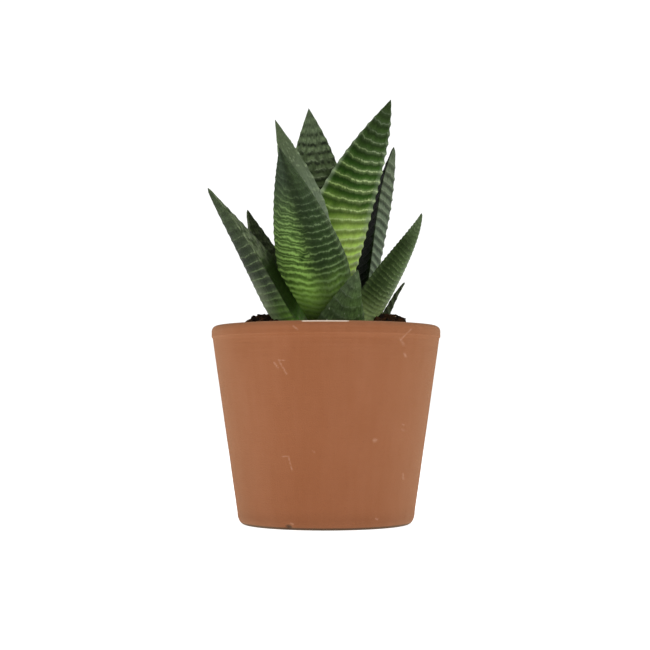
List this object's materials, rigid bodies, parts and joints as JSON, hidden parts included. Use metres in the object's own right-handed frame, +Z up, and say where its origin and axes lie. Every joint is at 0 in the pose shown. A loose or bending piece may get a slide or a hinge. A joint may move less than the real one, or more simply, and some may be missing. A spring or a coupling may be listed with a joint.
{
  "type": "potted haworthia",
  "caption": "Small succulent with a rosette of thick, keeled, ridged pointed leaves, standing in bark mix in a tapered terracotta pot.",
  "frame": {"origin": "centre of the pot's foot, on the surface that the pot stands on", "axes": "+Z up along the pot's axis, -Y towards the front of the plant, +X to its right"},
  "size_m": [0.0804, 0.0804, 0.1523],
  "materials": {
    "terracotta": "unglazed, dry and matte",
    "bark_mix": "rough, crumbly bark and peat",
    "stem": "dull, fibrous plant skin",
    "leaf": "firm satin leaf skin with paler raised ridges"
  },
  "bodies": {
    "root": {"terracotta_pot": "terracotta", "potting_soil": "bark_mix", "stem_and_roots": "stem", "leaf_heart": "leaf", "leaf_inner_left": "leaf", "leaf_tall_right": "leaf", "leaf_front_left": "leaf", "leaf_tall_back": "leaf", "leaf_left": "leaf", "leaf_right": "leaf", "leaf_back_right": "leaf", "leaf_left_small": "leaf", "leaf_front_small": "leaf", "leaf_right_small": "leaf", "leaf_rear_left": "leaf", "leaf_rear_right": "leaf", "leaf_rear_side": "leaf", "leaf_rear_low": "leaf", "leaf_rear_corner": "leaf"}
  },
  "joints": []
}
